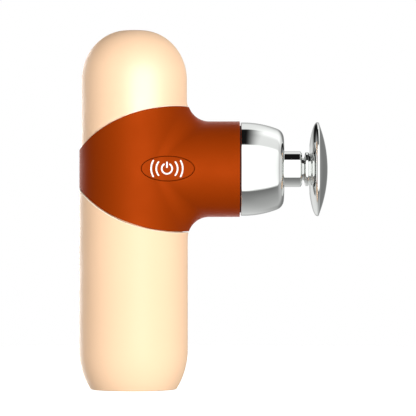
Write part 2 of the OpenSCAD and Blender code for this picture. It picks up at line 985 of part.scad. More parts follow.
handle_shell();
base_cap();
top_shell();
collar_shell();
nose_seal_ring();
nose_cup();
shaft_wiper();
bushing_carrier();
linear_bushing();
carrier_screws();
guide_plate();
frame_posts();
motor_plate();
frame_screws();
motor_damper_ring();
stator_holder();
stator_core();
stator_windings();
motor_bearings();
rotor_can();
rotor_magnets();
motor_shaft();
crank_disc();
crank_pin();
slide_block();
yoke_glide_button();
yoke();
plunger_shaft();
massage_disc();
head_stem();
stem_o_ring();
power_button();
button_icon();
button_actuator();
button_board();
button_switch();
button_flex();
control_board();
board_components();
motor_leads();
battery_cell_front();
battery_cell_rear();
lower_battery_tray();
upper_battery_tray();
nickel_strips();
battery_leads();
usb_c_socket();
charge_light_guide();
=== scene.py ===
"""Mini massage gun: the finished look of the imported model, on a pale floor in soft studio light.

Lengths are in millimetres while a shape is worked out, and in metres in Blender.
+Z runs up the body, +X towards the massage head, and -Y is the side with the power button.
"""

import json
import math

import bmesh
import bpy
import numpy as np
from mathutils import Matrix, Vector


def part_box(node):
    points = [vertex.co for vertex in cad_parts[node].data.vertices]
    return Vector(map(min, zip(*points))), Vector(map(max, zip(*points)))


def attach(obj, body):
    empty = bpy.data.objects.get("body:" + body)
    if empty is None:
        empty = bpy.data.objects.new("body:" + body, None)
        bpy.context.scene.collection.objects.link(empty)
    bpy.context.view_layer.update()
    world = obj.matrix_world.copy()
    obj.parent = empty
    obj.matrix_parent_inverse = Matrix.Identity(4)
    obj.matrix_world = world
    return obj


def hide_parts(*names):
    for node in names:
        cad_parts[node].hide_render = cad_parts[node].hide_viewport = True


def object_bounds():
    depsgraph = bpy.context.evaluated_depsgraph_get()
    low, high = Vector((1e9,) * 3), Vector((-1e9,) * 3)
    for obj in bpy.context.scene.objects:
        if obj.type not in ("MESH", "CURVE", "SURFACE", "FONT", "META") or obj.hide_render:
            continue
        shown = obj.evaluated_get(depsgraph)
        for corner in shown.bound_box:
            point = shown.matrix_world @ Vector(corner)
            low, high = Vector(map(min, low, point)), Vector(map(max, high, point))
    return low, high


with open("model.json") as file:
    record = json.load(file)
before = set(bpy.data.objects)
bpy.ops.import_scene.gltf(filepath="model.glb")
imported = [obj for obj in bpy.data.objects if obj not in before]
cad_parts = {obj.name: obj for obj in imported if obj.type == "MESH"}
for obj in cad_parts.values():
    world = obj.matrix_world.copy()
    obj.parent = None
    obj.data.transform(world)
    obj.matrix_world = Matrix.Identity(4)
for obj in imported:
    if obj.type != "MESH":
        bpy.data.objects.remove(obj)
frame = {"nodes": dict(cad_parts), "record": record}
cad_box = [[float(v) for v in corner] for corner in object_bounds()]
scene = bpy.context.scene
record = frame["record"]

MM = 0.001


def box_mm(node):
    """Lowest and highest corner of a CAD node, in millimetres."""
    low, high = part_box(node)
    return np.array(low) / MM, np.array(high) / MM


def place(name, data):
    """A new object in the scene."""
    made = bpy.data.objects.new(name, data)
    scene.collection.objects.link(made)
    return made


def xyz(x, y, z):
    """Points from their coordinates, which may be numbers or tables."""
    return np.stack(np.broadcast_arrays(x, y, z), axis=-1)


# ---------------------------------------------------------------- camera

# The photograph is taken from straight in front of the button, a little right of the middle
CAMERA_DISTANCE = 1.380
CAMERA_RIGHT = 0.0019
CAMERA_UP = 0.00075
CAMERA_SENSOR = 36.0
CAMERA_LENS = 285.6

camera_data = bpy.data.cameras.new("camera")
camera_data.sensor_width = CAMERA_SENSOR
camera_data.lens = CAMERA_LENS
camera_data.clip_start = 0.05
camera_data.clip_end = 20
camera = place("camera", camera_data)
camera.location = (
    (cad_box[0][0] + cad_box[1][0]) / 2 + CAMERA_RIGHT,
    -CAMERA_DISTANCE,
    (cad_box[0][2] + cad_box[1][2]) / 2 + CAMERA_UP,
)
camera.rotation_euler = (math.radians(90), 0, 0)
scene.camera = camera

# ---------------------------------------------------------------- sizes

HANDLE_HIGH = box_mm("handle_shell")[1]
TOP_HIGH = box_mm("top_shell")[1]
COLLAR_HIGH = box_mm("collar_shell")[1]
CUP_LOW, CUP_HIGH = box_mm("nose_cup")
SHAFT_LOW, SHAFT_HIGH = box_mm("plunger_shaft")
DISC_LOW, DISC_HIGH = box_mm("massage_disc")
STEM_LOW, STEM_HIGH = box_mm("head_stem")
WIPER_LOW, WIPER_HIGH = box_mm("shaft_wiper")
BUTTON_LOW, BUTTON_HIGH = box_mm("power_button")

BODY_R = HANDLE_HIGH[0]
TOP_R = 22.0
# The upper shell's outside sits a little towards the head
TOP_X = 0.3
AXIS_Z = (CUP_LOW[2] + CUP_HIGH[2]) / 2
BRANCH_R = 20.0
BRANCH_END = COLLAR_HIGH[0]
FILLET_R = 9.0

# The collar's edges, seen from the front: level ahead of LEVEL_X, an ellipse behind it
FRONT_HALF = 26.0
LEVEL_X = 21.0
EDGE_A = 50.0
EDGE_B = 35.5

# The collar's wall, and the roundings of its seams, of the shells' rims and of its mouth
SKIN = 1.8
SEAM_ROUND = 0.16
RIM_ROUND = 0.34
MOUTH_ROUND = 0.3
ROUND_STEPS = 4

# The shells' spigots inside the collar
SPIGOT_R = 20.55
SPIGOT_LEN = 5.0
SPIGOT_EDGE = 0.4

# The open seams: the lower one is wider behind than under the branch
UPPER_GAP = 0.03
LOWER_GAP = 0.36
LOWER_GAP_BACK = 0.24

# ---------------------------------------------------------------- the surface of the collar
# Points here are relative to the crossing of the body's axis and the shaft's axis.

BALL_BODY = BODY_R + FILLET_R
BALL_BRANCH = BRANCH_R + FILLET_R
CENTRE_STEPS = 540

# How far the fillet can stand out from the side and from the body, at most
SIDE_REACH = 6
FLARE_REACH = 5.0
HALVINGS = 30

# How many points are compared with the ball's path at a time
BATCH = 4000
FAR_AWAY = 1e3
NEARLY_ZERO = 1e-6


def seam_half(x):
    """Half height of the collar at x in front of the body's axis."""
    u = (np.minimum(x, LEVEL_X) - LEVEL_X) / EDGE_A
    return FRONT_HALF - EDGE_B * (1 - np.sqrt(1 - u * u))


def ball_centre(phi):
    """Centre of the ball that rolls along the junction and shapes the fillet."""
    y = BALL_BRANCH * np.cos(phi)
    z = BALL_BRANCH * np.sin(phi)
    return xyz(np.sqrt(BALL_BODY ** 2 - y * y), y, z)


CENTRES = ball_centre(np.radians(np.linspace(0, 90, CENTRE_STEPS + 1)))


def nearest_centre(points):
    """The nearest place of that ball's centre to each point, and its distance."""
    mirrored = np.concatenate([points[:, :1], np.abs(points[:, 1:])], axis=1)
    centres = np.empty_like(mirrored)
    for first in range(0, len(points), BATCH):
        part = mirrored[first:first + BATCH]
        gaps = ((part[:, None, :] - CENTRES[None, :, :]) ** 2).sum(axis=2)
        centres[first:first + BATCH] = CENTRES[gaps.argmin(axis=1)]
    distance = np.linalg.norm(mirrored - centres, axis=1)
    signs = np.where(points < 0, -1.0, 1.0)
    signs[:, 0] = 1
    return centres * signs, distance


def outer_normals(points):
    """The collar's outer normal at each point, and how far the point is from that surface."""
    x, y, z = points.T
    body_r = np.hypot(x, y)
    branch_r = np.hypot(y, z)
    centres, distance = nearest_centre(points)
    gaps = np.stack([
        np.abs(body_r - BODY_R),
        np.where(x > 0, np.abs(branch_r - BRANCH_R), FAR_AWAY),
        np.abs(distance - FILLET_R),
    ])
    body_n = xyz(x, y, 0) / np.maximum(body_r, NEARLY_ZERO)[:, None]
    branch_n = xyz(0, y, z) / np.maximum(branch_r, NEARLY_ZERO)[:, None]
    ball_n = (centres - points) / np.maximum(distance, NEARLY_ZERO)[:, None]
    pick = gaps.argmin(axis=0)
    normals = np.where(
        (pick == 0)[:, None], body_n, np.where((pick == 1)[:, None], branch_n, ball_n)
    )
    return normals, gaps.min(axis=0)


def on_fillet(points_at, near, far):
    """The offset between near and far at which points_at meets the fillet."""
    for _ in range(HALVINGS):
        middle = (near + far) / 2
        gap = nearest_centre(points_at(middle).reshape(-1, 3))[1].reshape(middle.shape)
        near = np.where(gap > FILLET_R, middle, near)
        far = np.where(gap > FILLET_R, far, middle)
    return (near + far) / 2


def side_surface(x, z):
    """Distance of the collar's side from the XZ plane, at each x and z."""
    x, z = np.broadcast_arrays(np.asarray(x, float), np.asarray(z, float))
    body = np.sqrt(np.maximum(BODY_R ** 2 - x * x, 0))
    branch = np.where(x > 0, np.sqrt(np.maximum(BRANCH_R ** 2 - z * z, 0)), 0)
    low = np.maximum(body, branch)
    on_branch = ball_centre(np.arcsin(np.clip(z / BRANCH_R, -1, 1)))[..., 0]
    on_body = ball_centre(np.arcsin(np.clip(z / BALL_BRANCH, -1, 1)))[..., 0] * BODY_R / BALL_BODY
    inside = (x > on_body) & (x < on_branch)

    side = on_fillet(lambda y: xyz(x, y, z), low, low + SIDE_REACH)
    return np.where(inside, side, low)


def flare(psi, z):
    """How far the fillet lifts the body's surface at the angle psi and height z."""
    psi, z = np.broadcast_arrays(np.asarray(psi, float), np.asarray(z, float))
    edge = ball_centre(np.arcsin(np.clip(np.abs(z) / BALL_BRANCH, 0, 1)))
    limit = np.arctan2(edge[..., 1], edge[..., 0])
    inside = (np.abs(psi) < limit) & (np.abs(z) < BALL_BRANCH)

    def points_at(lift):
        radius = BODY_R + lift
        return xyz(radius * np.cos(psi), radius * np.sin(psi), z)

    lift = on_fillet(points_at, np.zeros(psi.shape), np.full(psi.shape, FLARE_REACH))
    return np.where(inside, lift, 0)


# ---------------------------------------------------------------- mesh tools

# In metres: points closer than this are one point, and edges shorter than this go
WELD = 2e-7
SPECK = 1e-8


class Skin:
    """Collects grids of points and makes them one welded mesh."""

    def __init__(self):
        self.points = []
        self.faces = []

    def grid(self, table, wrap=False):
        rows, cols = table.shape[:2]
        base = len(self.points)
        self.points.extend(table.reshape(-1, 3).tolist())
        for i in range(rows if wrap else rows - 1):
            for j in range(cols - 1):
                a = base + i * cols + j
                b = base + (i + 1) % rows * cols + j
                self.faces.append((a, a + 1, b + 1, b))

    def quarters(self, table):
        """The grid and its mirror images in the XY and XZ planes."""
        for side_y in (1, -1):
            for side_z in (1, -1):
                self.grid(table * [1, side_y, side_z])

    def mesh(self, name, lift=0.0):
        """The mesh, in metres, moved up by lift millimetres."""
        mesh = bpy.data.meshes.new(name)
        points = (np.array(self.points) + [0, 0, lift]) * MM
        mesh.from_pydata(points.tolist(), [], self.faces)
        work = bmesh.new()
        work.from_mesh(mesh)
        bmesh.ops.remove_doubles(work, verts=work.verts, dist=WELD)
        bmesh.ops.dissolve_degenerate(work, edges=work.edges, dist=SPECK)
        bmesh.ops.recalc_face_normals(work, faces=work.faces)
        for face in work.faces:
            face.smooth = True
        work.to_mesh(mesh)
        work.free()
        return mesh


def unit(v):
    return v / np.linalg.norm(v, axis=-1, keepdims=True)


def rounding(start, tangent, normal, radius, depth):
    """Columns that turn an edge: an arc from start, then a wall down to depth."""
    turns = np.linspace(0, math.pi / 2, ROUND_STEPS + 1)[1:]
    columns = [
        start + radius * (math.sin(a) * tangent - (1 - math.cos(a)) * normal) for a in turns
    ]
    columns.append(start + radius * tangent - depth * normal)
    return columns


def make_object(name, mesh, sharp=35, weighted=True):
    mesh.set_sharp_from_angle(angle=math.radians(sharp))
    piece = place(name, mesh)
    if weighted:
        modifier = piece.modifiers.new("weighted_normals", "WEIGHTED_NORMAL")
        modifier.keep_sharp = True
    return piece


def declare(piece, body, node, slot):
    """The piece takes a CAD node's place on its body, in a material slot of the record."""
    piece.data.materials.append(MATERIALS[slot])
    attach(piece, body)
    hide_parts(node)
    return piece


# A corner counts as on the collar's surface within this distance and turn
SURFACE_NEAR = 0.015
SURFACE_TURN = math.radians(25)


def read(items, field, width, kind=np.float32):
    """One field of all the items, a row for each."""
    values = np.empty(len(items) * width, dtype=kind)
    items.foreach_get(field, values)
    return values.reshape(-1, width)


def exact_normals(mesh, lift):
    """Gives every corner on the collar's outer surface that surface's exact normal."""
    points = read(mesh.vertices, "co", 3).astype(float) / MM - [0, 0, lift]
    exact, gap = outer_normals(points)
    vertex = read(mesh.loops, "vertex_index", 1, np.int32)[:, 0]
    corner = read(mesh.corner_normals, "vector", 3)
    sizes = read(mesh.polygons, "loop_total", 1, np.int32)[:, 0]
    face_n = np.repeat(read(mesh.polygons, "normal", 3), sizes, axis=0)
    target = exact[vertex]
    level = (face_n * target).sum(axis=1) > math.cos(SURFACE_TURN)
    close = (gap[vertex] < SURFACE_NEAR) & level
    mesh.normals_split_custom_set(np.where(close[:, None], target, corner).tolist())


LATHE_STEPS = 192


def lathe(name, profile, sharp=35):
    """Turns a closed profile of (x, radius) points about the shaft's axis."""
    profile = np.array(list(profile) + [profile[0]])
    turns = np.linspace(0, 2 * math.pi, LATHE_STEPS, endpoint=False)[:, None]
    x, radius = profile.T
    skin = Skin()
    skin.grid(xyz(x, radius * np.cos(turns), radius * np.sin(turns)), wrap=True)
    return make_object(name, skin.mesh(name, AXIS_Z), sharp)


def rounded(corners, steps=7):
    """A closed profile through (x, radius, rounding) corners, each turned by an arc."""
    profile = []
    for i, (x, r, size) in enumerate(corners):
        corner = np.array([x, r], float)
        if size == 0:
            profile.append(corner)
            continue
        before = unit(np.array(corners[i - 1][:2], float) - corner)
        after = unit(np.array(corners[(i + 1) % len(corners)][:2], float) - corner)
        half = math.acos(float(before @ after)) / 2
        centre = corner + unit(before + after) * size / math.sin(half)
        first = corner + before * size / math.tan(half) - centre
        last = corner + after * size / math.tan(half) - centre
        sweep = math.pi - 2 * half
        for k in range(steps + 1):
            t = k / steps
            profile.append(
                centre + (math.sin((1 - t) * sweep) * first + math.sin(t * sweep) * last)
                / math.sin(sweep)
            )
    return profile


def arc(cx, cr, radius_x, radius_r, a0, a1, steps):
    """Profile points on an ellipse; the angle runs from the radial direction towards +X."""
    turns = np.radians(np.linspace(a0, a1, steps + 1))
    return [(cx + radius_x * math.sin(a), cr + radius_r * math.cos(a)) for a in turns]


# ---------------------------------------------------------------- materials

# A Mix node's colour sockets share their names with its other sockets, so they go by number
MIX_FIRST = 6
MIX_SECOND = 7
MIX_RESULT = 2

# The range that most of a noise texture lies in
NOISE_RANGE = (0.3, 0.7)


class Nodes:
    """A node tree in the making, with short names for the nodes that are used often."""

    def __init__(self, tree):
        self.tree = tree
        tree.nodes.clear()

    def node(self, kind, sources=None, **settings):
        """A new node with these settings, and with its sockets fed from sources."""
        made = self.tree.nodes.new(kind)
        for key, value in settings.items():
            setattr(made, key, value)
        for key, value in (sources or {}).items():
            self.feed(value, made.inputs[key])
        return made

    def feed(self, value, target):
        """Gives a socket a number, a vector, an opaque colour, or a link from another socket."""
        if isinstance(value, bpy.types.NodeSocket):
            self.tree.links.new(value, target)
        elif isinstance(value, tuple) and len(value) < len(target.default_value):
            target.default_value = (*value, 1.0)
        else:
            target.default_value = value

    def math(self, operation, *values):
        return self.node("ShaderNodeMath", dict(enumerate(values)), operation=operation).outputs[0]

    def carry(self, value, source, target, interpolation="LINEAR"):
        """The value, carried from its source range to the target range."""
        ends = dict(zip(("From Min", "From Max", "To Min", "To Max"), source + target))
        made = self.node(
            "ShaderNodeMapRange", {"Value": value, **ends}, interpolation_type=interpolation
        )
        return made.outputs["Result"]

    def mix(self, amount, first, second):
        """Colour between first and second. Either may be a colour or a socket."""
        sources = {"Factor": amount, MIX_FIRST: first, MIX_SECOND: second}
        return self.node("ShaderNodeMix", sources, data_type="RGBA").outputs[MIX_RESULT]

    def blend(self, amount, first, second):
        """Shader between first and second."""
        return self.node("ShaderNodeMixShader", {0: amount, 1: first, 2: second}).outputs[0]

    def split(self, vector):
        return self.node("ShaderNodeSeparateXYZ", {"Vector": vector}).outputs


class Paint(Nodes):
    """A node material in the making."""

    def __init__(self, name):
        self.material = bpy.data.materials.new(name)
        self.material.use_nodes = True
        super().__init__(self.material.node_tree)
        self.shader = self.node("ShaderNodeBsdfPrincipled")
        self.surface = self.shader.outputs["BSDF"]
        self.output = self.node("ShaderNodeOutputMaterial", {"Surface": self.surface})
        self.coords = self.node("ShaderNodeTexCoord").outputs["Object"]

    def stretched(self, *scale):
        """The object's coordinates, stretched along the axes."""
        sources = {"Scale": scale, "Vector": self.coords}
        return self.node("ShaderNodeMapping", sources).outputs["Vector"]

    def noise(self, scale, detail=3.0, roughness=0.5, vector=None):
        sources = {"Scale": scale, "Detail": detail, "Roughness": roughness}
        sources["Vector"] = vector or self.coords
        return self.node("ShaderNodeTexNoise", sources).outputs[0]

    def spread(self, value, low, high, source=NOISE_RANGE):
        """The value, carried from its source range to low..high."""
        return self.carry(value, source, (low, high))

    def wear_and_highlight(self, colour, edge, amount, raised=(0.52, 0.60), above=None):
        """The colour, which turns to the edge colour on raised edges, or on those above a height.
        The lighter edge colour is partly rubbing and partly a painted highlight.
        """
        pointed = self.node("ShaderNodeNewGeometry").outputs["Pointiness"]
        wear_highlight_mask = self.spread(pointed, 0.0, amount, raised)
        if above is not None:
            height = self.split(self.coords)["Z"]
            wear_highlight_mask = self.math("MULTIPLY", wear_highlight_mask, self.spread(height, 0, 1, above))
        return self.mix(wear_highlight_mask, colour, edge)

    def bump(self, height, strength, distance):
        sources = {"Strength": strength, "Distance": distance, "Height": height}
        return self.node("ShaderNodeBump", sources).outputs["Normal"]

    def finish(self, colour, roughness, normal=None, **constants):
        """The material, with constants set on the shader's sockets of those names."""
        self.feed(colour, self.shader.inputs["Base Color"])
        self.feed(roughness, self.shader.inputs["Roughness"])
        if normal is not None:
            self.feed(normal, self.shader.inputs["Normal"])
        for name, value in constants.items():
            self.shader.inputs[name.replace("_", " ")].default_value = value
        return self.material


def shade(colour, factor):
    return tuple(min(1.0, c * factor) for c in colour)


# Painted highlight: the cream shells' rims are painted a lighter cream, but the corner at the base
# stays plain
RIM_HIGHLIGHT_RAISED = (0.518, 0.53)
RIM_HIGHLIGHT_ABOVE = (0.01, 0.015)


def moulded(name, colour, rough, edge=0.25, specular=0.5, grain=1.0, cloud=0.03,
            rim_highlight_colour=None, metallic=0.0):
    """Moulded plastic: faint clouding, a fine spark-eroded grain, and edges painted lighter, partly
    as rubbing and partly as a painted highlight.
    """
    paint = Paint(name)
    clouds = paint.noise(35, 4)
    tone = paint.mix(
        paint.spread(clouds, 0, 1), shade(colour, 1 - cloud), shade(colour, 1 + cloud)
    )
    # Edges are painted lighter: rubbing, and on the cream rims a painted highlight
    if rim_highlight_colour is None:
        tone = paint.wear_and_highlight(tone, shade(colour, 1.25), edge)
    else:
        tone = paint.wear_and_highlight(tone, rim_highlight_colour, edge, RIM_HIGHLIGHT_RAISED, RIM_HIGHLIGHT_ABOVE)
    patches = paint.noise(90, 5)
    fine = paint.noise(2600, 2, 0.6)
    return paint.finish(
        tone, paint.spread(patches, rough - 0.04, rough + 0.04),
        paint.bump(fine, 0.12 * grain, 0.00004),
        Specular_IOR_Level=specular, Metallic=metallic,
    )


def polished(name, colour, rough):
    """Polished plating: a trace of polishing lines and soft smears in the gloss."""
    paint = Paint(name)
    smears = paint.noise(60, 5, 0.6)
    tone = paint.mix(paint.spread(smears, 0, 1), shade(colour, 0.985), shade(colour, 1.01))
    lines = paint.noise(900, 3, 0.6, paint.stretched(1, 0.12, 0.12))
    gloss = paint.spread(lines, rough * 0.7, rough * 1.5)
    normal = paint.bump(lines, 0.02, 0.00001)
    return paint.finish(tone, gloss, normal, Metallic=1.0)


def machined(name, colour, rough):
    """Turned or rolled metal: fine tool lines, with brighter edges, partly rubbed and partly a
    painted highlight.
    """
    paint = Paint(name)
    lines = paint.noise(1500, 3, 0.6, paint.stretched(1, 1, 0.05))
    tone = paint.mix(paint.spread(lines, 0, 1), shade(colour, 0.9), shade(colour, 1.06))
    tone = paint.wear_and_highlight(tone, shade(colour, 1.3), 0.6)
    gloss = paint.spread(lines, rough - 0.08, rough + 0.08)
    return paint.finish(tone, gloss, paint.bump(lines, 0.1, 0.00003), Metallic=1.0)


# The length at which a wave texture of scale 1 repeats
WAVE_LENGTH = 0.314


def coil(name, colour, rough, pitch):
    """Wound wire or a stack of sheets: even bands along Z."""
    paint = Paint(name)
    sources = {"Scale": WAVE_LENGTH / pitch, "Distortion": 0.4, "Vector": paint.coords}
    bands = paint.node("ShaderNodeTexWave", sources, bands_direction="Z").outputs["Fac"]
    tone = paint.mix(bands, shade(colour, 0.55), shade(colour, 1.15))
    gloss = paint.spread(paint.noise(300), rough - 0.06, rough + 0.06)
    return paint.finish(tone, gloss, paint.bump(bands, 0.5, pitch * 0.25), Metallic=1.0)


def rubber(name, colour, rough):
    """Rubber: a fine grain and a little dust."""
    paint = Paint(name)
    dust = paint.noise(220, 6, 0.7)
    tone = paint.mix(paint.spread(dust, 0, 1), shade(colour, 0.8), shade(colour, 1.5))
    fine = paint.noise(3000, 3)
    gloss = paint.spread(dust, rough - 0.08, rough + 0.08)
    return paint.finish(tone, gloss, paint.bump(fine, 0.25, 0.00003), Specular_IOR_Level=0.4)


def board(name, colour, copper):
    """Circuit board: tracks that show faintly through the solder mask."""
    paint = Paint(name)
    sources = {"Scale": 420, "Vector": paint.coords}
    cells = paint.node("ShaderNodeTexVoronoi", sources, distance="MANHATTAN")
    tracks = paint.spread(cells.outputs["Distance"], 1, 0, (0.30, 0.34))
    tone = paint.mix(tracks, colour, copper)
    gloss = paint.spread(paint.noise(500), 0.25, 0.4)
    return paint.finish(tone, gloss, paint.bump(tracks, 0.3, 0.00003), Coat_Weight=0.3)


CREAM = (0.920, 0.622, 0.400)
# The lighter cream painted on the shells' rims as a highlight
CREAM_RIM_HIGHLIGHT = (1.0, 0.90, 0.74)
ORANGE = (0.285, 0.0345, 0.0008)
CHROME = (0.86, 0.87, 0.86)

# Moulded parts: colour, roughness, lightening of the edges (rubbing and painted highlight), specular
# level, grain and clouding
MOULDED = {
    "white_print": ((0.95, 0.94, 0.92), 0.35, 0.1, 0.3, 0.4, 0.01),
    "dark_nylon": ((0.028, 0.028, 0.030), 0.55, 0.4, 0.5, 1.5, 0.1),
    "white_nylon": ((0.72, 0.70, 0.66), 0.45, 0.3, 0.5, 1.2, 0.03),
    "electronic_parts": ((0.016, 0.016, 0.018), 0.4, 0.3, 0.5, 1.0, 0.1),
    "flex_film": ((0.55, 0.25, 0.04), 0.25, 0.2, 0.5, 0.5, 0.05),
    "wire_insulation": ((0.50, 0.02, 0.015), 0.35, 0.2, 0.5, 0.6, 0.05),
    "battery_wrap": ((0.02, 0.12, 0.40), 0.28, 0.3, 0.5, 0.5, 0.04),
    "clear_light_pipe": ((0.80, 0.81, 0.80), 0.12, 0.2, 0.5, 0.3, 0.01),
}

# Machined parts: colour and roughness
MACHINED = {
    "bronze": ((0.62, 0.40, 0.17), 0.34),
    "steel": ((0.56, 0.57, 0.58), 0.28),
    "magnet": ((0.30, 0.31, 0.33), 0.32),
    "machined_aluminium": ((0.74, 0.75, 0.76), 0.32),
}

MATERIALS = {
    "cream_shell": moulded("cream_shell", CREAM, 0.45, 1.0, 0.08, 0.6, 0.012, CREAM_RIM_HIGHLIGHT),
    "orange_collar": moulded("orange_collar", ORANGE, 0.64, 0.35, 0.03, 0.6, 0.02, metallic=0.3),
    "chrome_trim": polished("chrome_trim", CHROME, 0.035),
    "black_rubber": rubber("black_rubber", (0.016, 0.016, 0.017), 0.55),
    "electrical_steel": coil("electrical_steel", (0.23, 0.24, 0.26), 0.4, 0.0005),
    "copper_winding": coil("copper_winding", (0.80, 0.33, 0.13), 0.3, 0.0006),
    "circuit_board": board("circuit_board", (0.012, 0.09, 0.045), (0.05, 0.16, 0.07)),
}
for slot, recipe in MOULDED.items():
    MATERIALS[slot] = moulded(slot, *recipe)
for slot, recipe in MACHINED.items():
    MATERIALS[slot] = machined(slot, *recipe)

for part in record["subparts"]:
    node = frame["nodes"][part["node"]]
    for holder in node.material_slots:
        holder.material = MATERIALS[part["material_slot"]]

# ---------------------------------------------------------------- cream shells

COLUMNS = 192
PSI = np.linspace(-math.pi, math.pi, COLUMNS, endpoint=False)
# Rows this far beyond a rim's rounding follow the fillet's flare
SEAM_OFFSETS = [0.35, 0.8, 1.3, 1.8, 2.3, 2.8, 3.4, 4.2, 5.5, 7.5]


def seam_heights(radius):
    """Height of the collar's edge above the shaft's axis, all round."""
    return seam_half(radius * np.cos(PSI))


def ring(radius, z, shift=0.0):
    """One row of points round the body. The radius and the height may vary with the angle."""
    return xyz(shift + radius * np.cos(PSI), radius * np.sin(PSI), z)


def shell_rim(radius, side, gap):
    """Rows from the wall inside the collar, over the rounded edge, and along the surface.

    side is 1 for the upper shell and -1 for the lower one.
    """
    edge = seam_heights(radius) + gap
    lifted = radius + flare(PSI, edge)
    outer = ring(lifted, edge)
    tangent = unit(np.roll(outer, -1, axis=0) - np.roll(outer, 1, axis=0))
    probe = edge + 0.3
    step = unit(ring(radius + flare(PSI, probe), probe) - outer)
    normal = unit(np.cross(tangent, step))
    normal *= np.sign((normal * ring(1, 0)).sum(axis=1))[:, None]
    down = unit(np.cross(normal, tangent))
    down *= -np.sign(down[:, 2])[:, None]
    start = outer - RIM_ROUND * down
    rows = [ring(SPIGOT_R, edge)]
    turned = rounding(start, down, normal, RIM_ROUND, RIM_ROUND)[:-1]
    rows += turned[::-1] + [start]
    for offset in SEAM_OFFSETS:
        z = edge + RIM_ROUND + offset
        rows.append(ring(radius + flare(PSI, z), z))
    return [row * [1, 1, side] for row in rows], edge


def shell(name, rows):
    """Rows round the body as one closed piece."""
    skin = Skin()
    skin.grid(np.stack(rows, axis=1), wrap=True)
    return make_object(name, skin.mesh(name, AXIS_Z))


def lower_shell():
    """The handle: a straight wall, a taper to the base, and the steps inside."""
    wall_rows, taper_rows, corner_rows = 15, 12, 6
    taper_z, taper_r = 16.5, 31.0
    corner_r = 0.9
    hole_r, hole_edge = 15.6, 0.3
    floor_z = 6
    step_r, step_z = 18.7, 12
    bore_r, bore_z = 19.4, 50
    gap = LOWER_GAP + LOWER_GAP_BACK * (1 - np.cos(PSI)) / 2
    rim, edge = shell_rim(BODY_R, -1, gap)
    last = rim[-1][:, 2]
    level = taper_z - AXIS_Z
    rows = rim[:]
    for q in np.linspace(0, 1, wall_rows + 1)[1:]:
        rows.append(ring(BODY_R, last * (1 - q) + level * q))
    centre_r = BODY_R - taper_r
    # The base corner's ball touches the taper's arc from inside
    reach = taper_r - corner_r
    meet = math.asin((taper_z - corner_r) / reach)
    corner_centre = centre_r + reach * math.cos(meet)
    for a in np.linspace(0, meet, taper_rows + 1)[1:]:
        rows.append(ring(centre_r + taper_r * math.cos(a), level - taper_r * math.sin(a)))
    for a in np.linspace(meet, math.pi / 2, corner_rows + 1)[1:]:
        rows.append(ring(
            corner_centre + corner_r * math.cos(a), corner_r - AXIS_Z - corner_r * math.sin(a)
        ))
    for radius, z in (
        (hole_r + hole_edge, 0), (hole_r, hole_edge), (hole_r, floor_z), (step_r, floor_z),
        (step_r, step_z), (bore_r, step_z), (bore_r, bore_z),
    ):
        rows.append(ring(radius, z - AXIS_Z))
    top = -edge + SPIGOT_LEN
    rows += [ring(bore_r, top), ring(SPIGOT_R - SPIGOT_EDGE, top)]
    rows += [ring(SPIGOT_R, top - SPIGOT_EDGE), rim[0]]
    return shell("lower_shell", rows)


def upper_shell():
    """The dome, whose top is a small flat, and the bore inside."""
    wall_rows, dome_rows, inner_rows = 8, 30, 12
    dome_h = 20.9
    flat_r = 2.9
    inner_r, inner_flat_r = 19.2, 1.5
    inner_h = dome_h - 2.3
    dome_z = TOP_HIGH[2] - AXIS_Z - dome_h
    rim, edge = shell_rim(TOP_R, 1, UPPER_GAP)
    last = rim[-1][:, 2]
    rows = rim[:1] + [row + [TOP_X, 0, 0] for row in rim[1:]]
    for q in np.linspace(0, 1, wall_rows + 1)[1:]:
        rows.append(ring(TOP_R, last * (1 - q) + dome_z * q, TOP_X))
    for a in np.radians(np.linspace(0, 90, dome_rows + 1)[1:]):
        radius = flat_r + (TOP_R - flat_r) * math.cos(a)
        rows.append(ring(radius, dome_z + dome_h * math.sin(a), TOP_X))
    rows += [ring(flat_r / 2, dome_z + dome_h, TOP_X), ring(0, dome_z + dome_h, TOP_X)]
    rows.append(ring(0, dome_z + inner_h))
    for a in np.radians(np.linspace(90, 0, inner_rows + 1)):
        radius = inner_flat_r + (inner_r - inner_flat_r) * math.cos(a)
        rows.append(ring(radius, dome_z + inner_h * math.sin(a)))
    low = edge - SPIGOT_LEN
    rows += [ring(inner_r, low), ring(SPIGOT_R - SPIGOT_EDGE, low)]
    rows += [ring(SPIGOT_R, low + SPIGOT_EDGE), rim[0]]
    return shell("upper_shell", rows)


declare(lower_shell(), "housing", "handle_shell", "cream_shell")
declare(upper_shell(), "housing", "top_shell", "cream_shell")

# ---------------------------------------------------------------- collar

SIDE_ROWS = 16
SEAM_ROWS = 14
FRONT_ROWS = 12
BRANCH_COLS = 14
BODY_COLS = 20
BAND_COLS = 40
BAND_PSI = math.radians(85)
# Shares along a fillet path, dense enough to find a height on it
SHARES = np.linspace(0, 1, 801)
ROUND_OFF = 1e-9


def fillet_path(phi, share):
    """Points on the fillet, from the branch at share 0 to the body at share 1."""
    centre = ball_centre(phi)
    to_branch = np.array([0, -math.cos(phi), -math.sin(phi)])
    to_body = -centre * [1, 1, 0] / BALL_BODY
    opening = math.acos(float(to_branch @ to_body))
    share = np.asarray(share)[:, None]
    turn = np.sin((1 - share) * opening) * to_branch + np.sin(share * opening) * to_body
    return centre + FILLET_R * turn / math.sin(opening), opening


